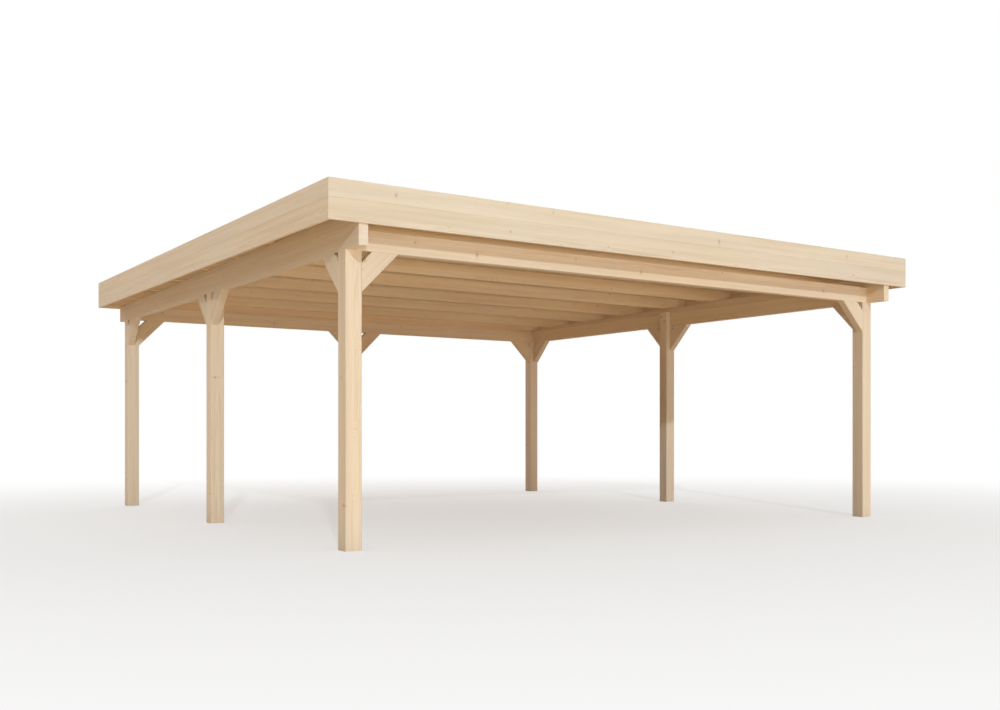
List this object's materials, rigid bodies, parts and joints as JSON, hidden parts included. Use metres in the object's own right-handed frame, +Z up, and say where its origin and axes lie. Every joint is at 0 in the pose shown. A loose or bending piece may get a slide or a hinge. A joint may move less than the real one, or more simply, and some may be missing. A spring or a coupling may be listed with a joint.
{
  "type": "double carport",
  "caption": "Open flat-roofed timber carport for two cars, with knee-braced posts, exposed rafters and a plain board fascia.",
  "frame": {"origin": "on the ground, under the middle of the roof", "axes": "+X across the front to the right, +Y from the front to the rear, +Z up"},
  "size_m": [5.9, 5.95, 2.43],
  "materials": {
    "post_timber": "planed, untreated spruce",
    "beam_timber": "planed, untreated spruce",
    "brace_timber": "planed, untreated spruce",
    "rafter_timber": "planed, untreated spruce",
    "fascia_board": "planed, untreated spruce",
    "kerb_timber": "sawn, untreated spruce",
    "deck_board": "planed, untreated spruce",
    "membrane": "matte roofing membrane"
  },
  "bodies": {
    "root": {"post_front_left": "post_timber", "post_middle_left": "post_timber", "post_rear_left": "post_timber", "post_front_right": "post_timber", "post_middle_right": "post_timber", "post_rear_right": "post_timber", "post_rear_centre": "post_timber", "purlin_left": "beam_timber", "purlin_right": "beam_timber", "beam_front": "beam_timber", "beam_rear": "beam_timber", "brace_beam_front_left": "brace_timber", "brace_beam_front_right": "brace_timber", "brace_beam_rear_left": "brace_timber", "brace_beam_rear_right": "brace_timber", "brace_beam_rear_centre_left": "brace_timber", "brace_beam_rear_centre_right": "brace_timber", "brace_purlin_front_left": "brace_timber", "brace_purlin_mid_front_left": "brace_timber", "brace_purlin_mid_rear_left": "brace_timber", "brace_purlin_rear_left": "brace_timber", "brace_purlin_front_right": "brace_timber", "brace_purlin_mid_front_right": "brace_timber", "brace_purlin_mid_rear_right": "brace_timber", "brace_purlin_rear_right": "brace_timber", "rafter_1": "rafter_timber", "rafter_2": "rafter_timber", "rafter_3": "rafter_timber", "rafter_4": "rafter_timber", "rafter_5": "rafter_timber", "rafter_6": "rafter_timber", "rafter_7": "rafter_timber", "rafter_8": "rafter_timber", "rafter_9": "rafter_timber", "fascia_lower_front": "fascia_board", "fascia_lower_rear": "fascia_board", "fascia_lower_left": "fascia_board", "fascia_lower_right": "fascia_board", "fascia_upper_front": "fascia_board", "fascia_upper_rear": "fascia_board", "fascia_upper_left": "fascia_board", "fascia_upper_right": "fascia_board", "roof_kerb": "kerb_timber", "roof_deck": "deck_board", "roof_membrane": "membrane"}
  },
  "joints": []
}
